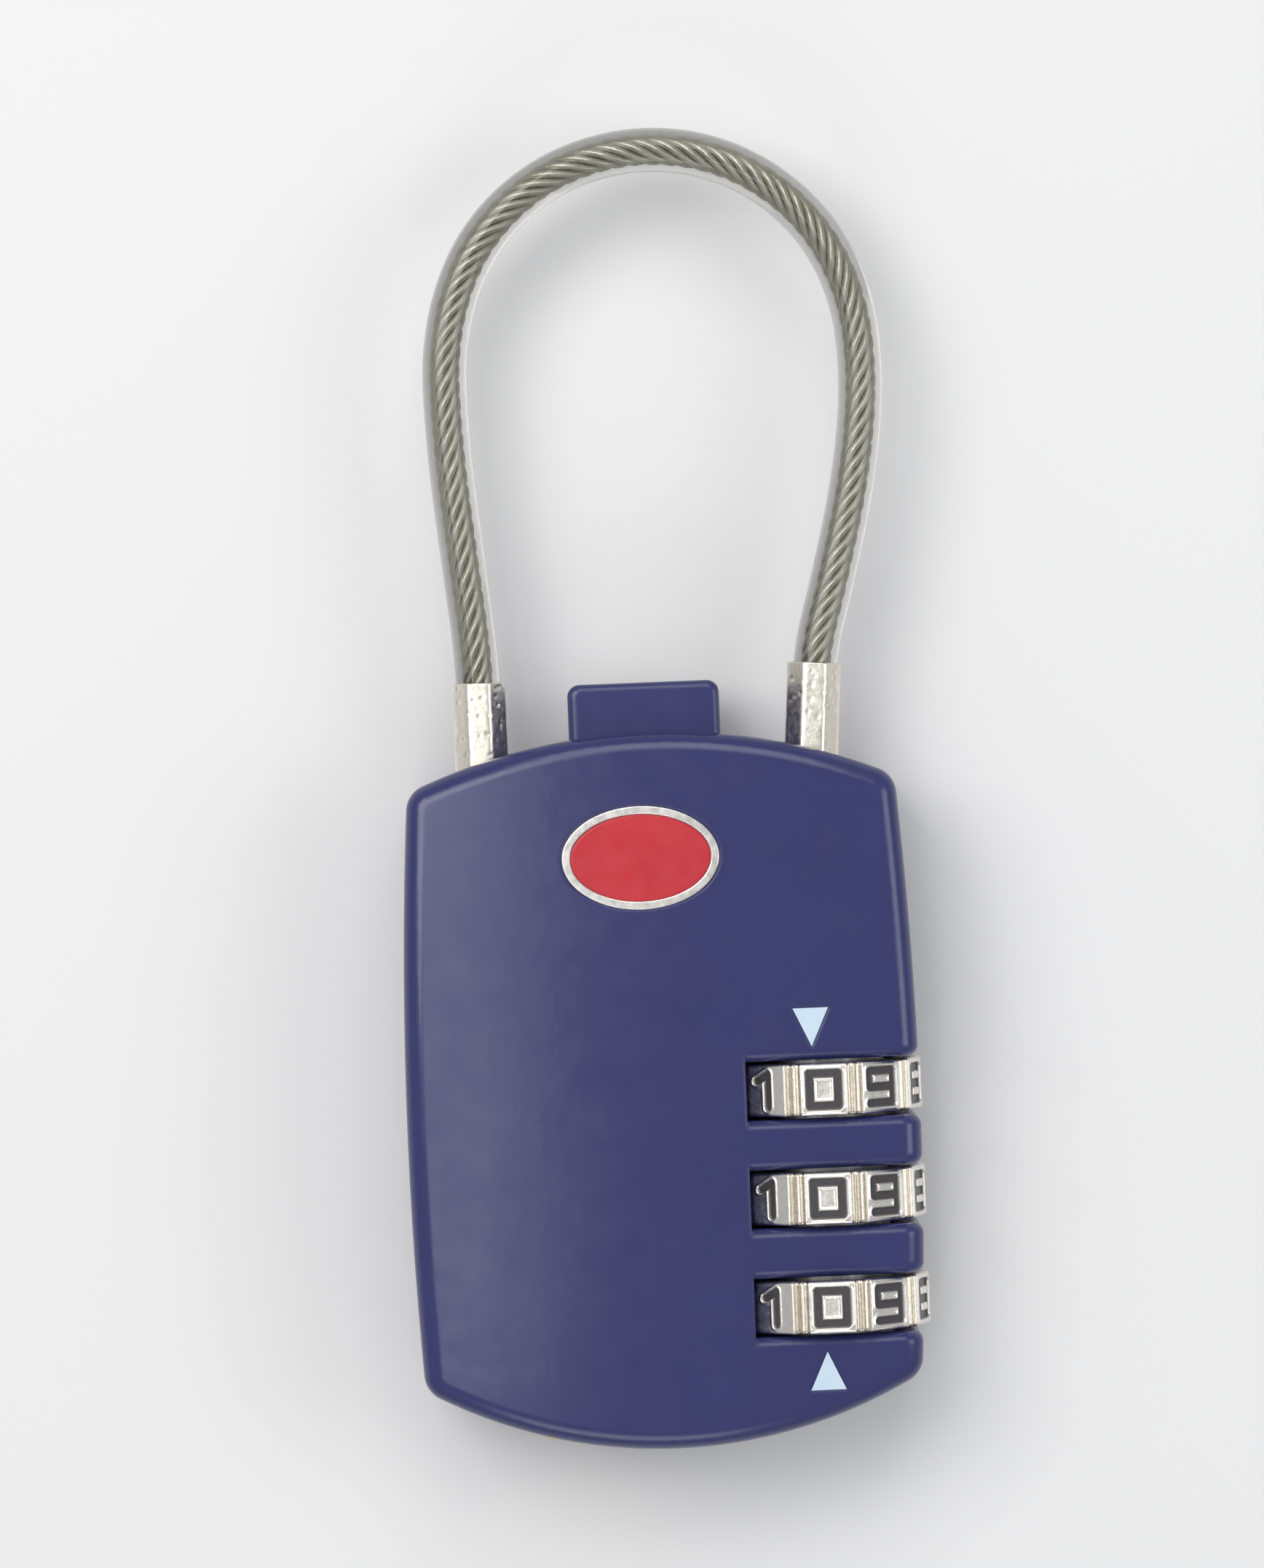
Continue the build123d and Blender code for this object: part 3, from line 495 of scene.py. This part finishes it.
def wheel_relief(turn, height, radius, half_thickness):
    """Radius, black fill and the share of flute over a wheel's rim.

    Each pad is a flat facet. Between pads the radius drops into a flute with one fine rib along its middle.
    A digit is a groove round its strokes with a raised lip, filled with black. The rim's two edges are
    rounded off.
    """
    number = np.round(-turn / DIGIT_STEP).astype(int) % DIGIT_COUNT
    offset = (turn + DIGIT_STEP / 2) % DIGIT_STEP - DIGIT_STEP / 2
    across = offset * radius
    facet = radius * math.cos(PAD_HALF / radius) / np.cos(offset)
    edge = smooth_step(PAD_HALF, PAD_HALF + FLUTE_WALL, np.abs(across))
    from_rib = np.abs(across) - DIGIT_STEP / 2 * radius
    rib = RIB_HEIGHT * np.exp(-((from_rib / RIB_WIDTH) ** 2))
    surface = facet * (1 - edge) + (radius - FLUTE_DEPTH + rib) * edge
    distance = np.full(np.shape(turn), NO_STROKE_NEAR)
    for digit in DIGIT_STROKES:
        here = number == digit
        distance[here] = stroke_distance(digit, across[here], height[here])
    groove = 1 - smooth_step(STROKE_HALF - GROOVE_WALL[0], STROKE_HALF + GROOVE_WALL[1], distance)
    lip = np.exp(-(((distance - STROKE_HALF - 0.5 * LIP_WIDTH) / (LIP_WIDTH / 2)) ** 2))
    surface = surface - ENGRAVE_DEPTH * groove + LIP_HEIGHT * lip * (1 - edge)
    from_edge = np.clip((half_thickness - np.abs(height)) / WHEEL_EDGE, 0, 1)
    surface = surface - WHEEL_EDGE * (1 - np.sqrt(1 - (1 - from_edge) ** 2))
    fill = 1 - smooth_step(STROKE_HALF - FILL_EDGE[0], STROKE_HALF + FILL_EDGE[1], distance)
    return np.minimum(surface, radius), fill, edge


def dial_axis(body):
    """A point on a dial joint's axis."""
    joints = frame["record"]["behaviour"]["joints"]
    return next(joint["pos_m"] for joint in joints if joint["child"] == body)


def make_wheel(number):
    """A digit wheel: the rim's relief on a grid of turn and height, closed by flat sides and a plain bore."""
    node = f"dial_{number}"
    low, high = (np.array(corner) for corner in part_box(node))
    half = (high[1] - low[1]) / 2 / MM
    radius = (high[2] - low[2]) / 2 / MM
    axis_x, axis_y, axis_z = dial_axis(node)
    spread = np.linspace(-1, 1, WHEEL_ROWS)
    height = half * ((1 - ROWS_TO_EDGES) * spread + ROWS_TO_EDGES * np.sin(spread * np.pi / 2))
    turn = np.linspace(-np.pi, np.pi, WHEEL_AROUND, endpoint=False)
    turns, heights = np.meshgrid(turn, height)
    surface, fill, flute = wheel_relief(turns, heights, radius, half)
    inward = np.array([WHEEL_SIDE, WHEEL_BORE])[:, None] * np.ones(WHEEL_AROUND)
    radii = np.vstack([inward[::-1], surface, inward])
    heights = np.vstack([np.full_like(inward, -half), heights, np.full_like(inward, half)])
    sides = ((2, 2), (0, 0))
    quads = wrapped_grid(len(radii), WHEEL_AROUND, closed_along=True)
    points = np.stack(
        [
            axis_x + radii * MM * np.sin(turn),
            axis_y + heights * MM,
            axis_z + radii * MM * np.cos(turn),
        ],
        axis=-1,
    )
    wheel = new_piece(f"digit_wheel_{number}", points, quads)
    point_value(wheel, "black_fill", np.pad(fill, sides))
    point_value(wheel, "flute", np.pad(flute, sides))
    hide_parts(node)
    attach(wheel, node)
    return wheel


# ---------------------------------------------------------------- finishes

NOISE_MIDDLE = (0.3, 0.7)
BEVEL_SAMPLES = 6


class Finish:
    """A material whose nodes are added one by one."""

    def __init__(self, name):
        self.material = bpy.data.materials.new(name)
        self.material.use_nodes = True
        self.nodes = self.material.node_tree.nodes
        self.links = self.material.node_tree.links
        self.shader = self.nodes["Principled BSDF"]
        self.place = self.nodes.new("ShaderNodeTexCoord").outputs["Object"]
        self.normal = None

    def set(self, **values):
        """Set the shader's own sockets, named with underscores for spaces."""
        for name, value in values.items():
            socket = self.shader.inputs[name.replace("_", " ")]
            socket.default_value = (*value, 1) if isinstance(value, tuple) and len(value) == 3 else value
        return self

    def link(self, output, socket):
        """Feed an output into a named socket of the shader."""
        self.links.new(output, self.shader.inputs[socket])

    def noise(self, scale, detail=4.0, stretch=(1, 1, 1)):
        """Noise over the piece, with its size in features per metre."""
        mapping = self.nodes.new("ShaderNodeMapping")
        mapping.inputs["Scale"].default_value = stretch
        self.links.new(self.place, mapping.inputs["Vector"])
        noise = self.nodes.new("ShaderNodeTexNoise")
        noise.inputs["Scale"].default_value = scale
        noise.inputs["Detail"].default_value = detail
        self.links.new(mapping.outputs["Vector"], noise.inputs["Vector"])
        return noise.outputs["Fac"]

    def cells(self, scale):
        """Distance to the middle of random cells, for grain."""
        cells = self.nodes.new("ShaderNodeTexVoronoi")
        cells.inputs["Scale"].default_value = scale
        self.links.new(self.place, cells.inputs["Vector"])
        return cells.outputs["Distance"]

    def ranged(self, value, low, high, new_low, new_high):
        """Carry a value from one range to another, clamped."""
        node = self.nodes.new("ShaderNodeMapRange")
        node.inputs["From Min"].default_value = low
        node.inputs["From Max"].default_value = high
        node.inputs["To Min"].default_value = new_low
        node.inputs["To Max"].default_value = new_high
        self.links.new(value, node.inputs["Value"])
        return node.outputs["Result"]

    def uneven_gloss(self, scale, detail, smooth, rough):
        """Let the roughness wander between two values with noise."""
        self.link(self.ranged(self.noise(scale, detail), *NOISE_MIDDLE, smooth, rough), "Roughness")

    def mixed(self, factor, first, second):
        """Blend two colours, or a colour and an output, by a factor."""
        node = self.nodes.new("ShaderNodeMix")
        node.data_type = "RGBA"
        self.links.new(factor, node.inputs["Factor"])
        for value, socket in ((first, node.inputs["A"]), (second, node.inputs["B"])):
            if isinstance(value, tuple):
                socket.default_value = (*value, 1)
            else:
                self.links.new(value, socket)
        return node.outputs["Result"]

    def attribute(self, name):
        """A number stored on the mesh."""
        node = self.nodes.new("ShaderNodeAttribute")
        node.attribute_name = name
        return node.outputs["Fac"]

    def eased_edges(self, radius):
        """Shade sharp edges as if they were rounded to a small radius."""
        node = self.nodes.new("ShaderNodeBevel")
        node.samples = BEVEL_SAMPLES
        node.inputs["Radius"].default_value = radius
        self.normal = node.outputs["Normal"]

    def bumps(self, *layers):
        """Chain bump layers of (height output, depth in metres)."""
        for height, depth in layers:
            node = self.nodes.new("ShaderNodeBump")
            node.inputs["Strength"].default_value = 1.0
            node.inputs["Distance"].default_value = depth
            self.links.new(height, node.inputs["Height"])
            if self.normal is not None:
                self.links.new(self.normal, node.inputs["Normal"])
            self.normal = node.outputs["Normal"]
        self.link(self.normal, "Normal")


def navy_paint():
    """Gloss navy paint on cast zinc, with faint orange peel and slightly uneven gloss."""
    finish = Finish("navy_gloss_paint")
    finish.set(Specular_IOR_Level=0.5)
    tone = finish.mixed(finish.noise(120, 2), (0.025, 0.028, 0.112), (0.029, 0.033, 0.126))
    finish.link(tone, "Base Color")
    finish.uneven_gloss(420, 5, 0.14, 0.21)
    finish.eased_edges(0.35 * MM)
    finish.bumps((finish.noise(700, 2), 0.006 * MM), (finish.noise(5200, 2), 0.0012 * MM))
    return finish.material


def nickel_wheel():
    """Warm nickel plate, bright on the pads and browner in the flutes, with black filled into the digits."""
    finish = Finish("wheel_nickel")
    fill = finish.attribute("black_fill")
    pad = finish.mixed(finish.noise(2600, 5), (0.78, 0.74, 0.66), (0.95, 0.93, 0.88))
    flute = finish.mixed(finish.noise(4200, 4), (0.46, 0.39, 0.29), (0.86, 0.80, 0.69))
    tone = finish.mixed(finish.attribute("flute"), pad, flute)
    finish.link(finish.mixed(fill, tone, (0.055, 0.051, 0.054)), "Base Color")
    finish.link(finish.ranged(fill, 0, 1, 1.0, 0.0), "Metallic")
    finish.uneven_gloss(2400, 5, 0.20, 0.34)
    finish.bumps((finish.noise(2600, 4), 0.008 * MM), (finish.noise(9000, 3), 0.002 * MM))
    return finish.material


def crimped_nickel():
    """Satin nickel over a crimped sleeve: warm, with soft streaks along it and fine grain."""
    finish = Finish("ferrule_nickel")
    finish.set(Metallic=1.0)
    streaks = finish.noise(2200, 4, stretch=(1, 0.2, 1))
    finish.link(finish.mixed(streaks, (0.72, 0.67, 0.55), (0.93, 0.90, 0.82)), "Base Color")
    finish.uneven_gloss(2600, 5, 0.24, 0.40)
    grain = finish.ranged(finish.cells(3600), 0.0, 0.4, 0, 1)
    finish.bumps((finish.noise(1800, 3), 0.010 * MM), (grain, 0.004 * MM))
    return finish.material


def strand_steel():
    """Drawn steel wire, dulled and slightly olive under the jacket."""
    finish = Finish("strand_steel")
    finish.set(Metallic=1.0)
    finish.link(finish.mixed(finish.noise(1200, 4), (0.50, 0.48, 0.39), (0.84, 0.82, 0.72)), "Base Color")
    finish.uneven_gloss(2500, 4, 0.28, 0.45)
    finish.bumps((finish.noise(5000, 3), 0.004 * MM))
    return finish.material


def clear_vinyl():
    """The clear jacket: a slightly smoky gloss plastic that the strands show through."""
    finish = Finish("clear_vinyl")
    finish.set(Base_Color=(0.56, 0.56, 0.54), Transmission_Weight=1.0, IOR=1.44)
    finish.uneven_gloss(600, 4, 0.03, 0.08)
    finish.bumps((finish.noise(500, 2), 0.008 * MM))
    return finish.material


def red_enamel():
    """Poured red enamel with a soft swirl and a gloss top."""
    finish = Finish("red_enamel")
    finish.set(Coat_Weight=0.8, Coat_Roughness=0.05)
    finish.link(finish.mixed(finish.noise(260, 3), (0.44, 0.008, 0.018), (0.56, 0.014, 0.028)), "Base Color")
    finish.uneven_gloss(900, 3, 0.18, 0.30)
    finish.eased_edges(0.3 * MM)
    finish.bumps((finish.noise(400, 2), 0.02 * MM))
    return finish.material


def bright_nickel():
    """The badge's bright rim."""
    finish = Finish("badge_nickel")
    finish.set(Metallic=1.0)
    finish.link(finish.mixed(finish.noise(1800, 4), (0.80, 0.77, 0.71), (0.93, 0.91, 0.87)), "Base Color")
    finish.uneven_gloss(2200, 4, 0.16, 0.28)
    finish.eased_edges(0.12 * MM)
    finish.bumps((finish.noise(2400, 3), 0.005 * MM))
    return finish.material


def pale_enamel():
    """Pale blue filler of the index marks."""
    finish = Finish("index_enamel")
    finish.link(finish.mixed(finish.noise(1200, 4), (0.48, 0.62, 0.74), (0.58, 0.70, 0.81)), "Base Color")
    finish.uneven_gloss(2600, 3, 0.30, 0.50)
    finish.bumps((finish.noise(2600, 3), 0.008 * MM))
    return finish.material


def machined(name, dark, light, rough_low, rough_high):
    """Turned metal with fine tool marks across its axis."""
    finish = Finish(name)
    finish.set(Metallic=1.0)
    finish.link(finish.mixed(finish.noise(1600, 4), dark, light), "Base Color")
    finish.uneven_gloss(2000, 4, rough_low, rough_high)
    finish.eased_edges(0.08 * MM)
    finish.bumps((finish.noise(900, 3, stretch=(0.2, 8, 0.2)), 0.004 * MM))
    return finish.material


def finish_nodes():
    """Give each CAD node that stays the finish of its kind."""
    paint = navy_paint()
    steel = machined("turned_steel", (0.42, 0.42, 0.43), (0.62, 0.62, 0.62), 0.25, 0.40)
    spring = machined("spring_steel", (0.26, 0.26, 0.28), (0.48, 0.47, 0.46), 0.22, 0.38)
    zinc = machined("cast_zinc", (0.36, 0.36, 0.37), (0.52, 0.52, 0.52), 0.35, 0.55)
    brass = machined("turned_brass", (0.55, 0.38, 0.16), (0.78, 0.60, 0.32), 0.22, 0.38)
    kinds = {
        "rear_shell": paint, "front_shell": paint, "release_button": paint,
        "case_pins": steel, "code_spindle": steel, "ejector_pin": steel, "reset_pin": steel,
        "button_spring": spring, "ejector_spring": spring, "reset_spring": spring,
        "latch_clip": spring, "detent_spring": spring,
        "carriage": zinc, "code_sleeve_1": zinc, "code_sleeve_2": zinc, "code_sleeve_3": zinc,
        "key_barrel": brass, "key_plug": brass, "key_wafers": brass,
        "badge_rim": bright_nickel(), "badge_enamel": red_enamel(), "index_marks": pale_enamel(),
    }
    for node, material in kinds.items():
        data = frame["nodes"][node].data
        data.materials.clear()
        data.materials.append(material)


make_camera()
cable_ends = make_cable_ends()
cable_jacket, cable_core = make_cable()
make_lights()
make_floor()
cable_jacket.data.materials.append(clear_vinyl())
cable_core.data.materials.append(strand_steel())
ferrule_finish = crimped_nickel()
for cable_end_piece in cable_ends:
    cable_end_piece.data.materials.append(ferrule_finish)
wheel_finish = nickel_wheel()
for wheel_number in (1, 2, 3):
    make_wheel(wheel_number).data.materials.append(wheel_finish)
finish_nodes()
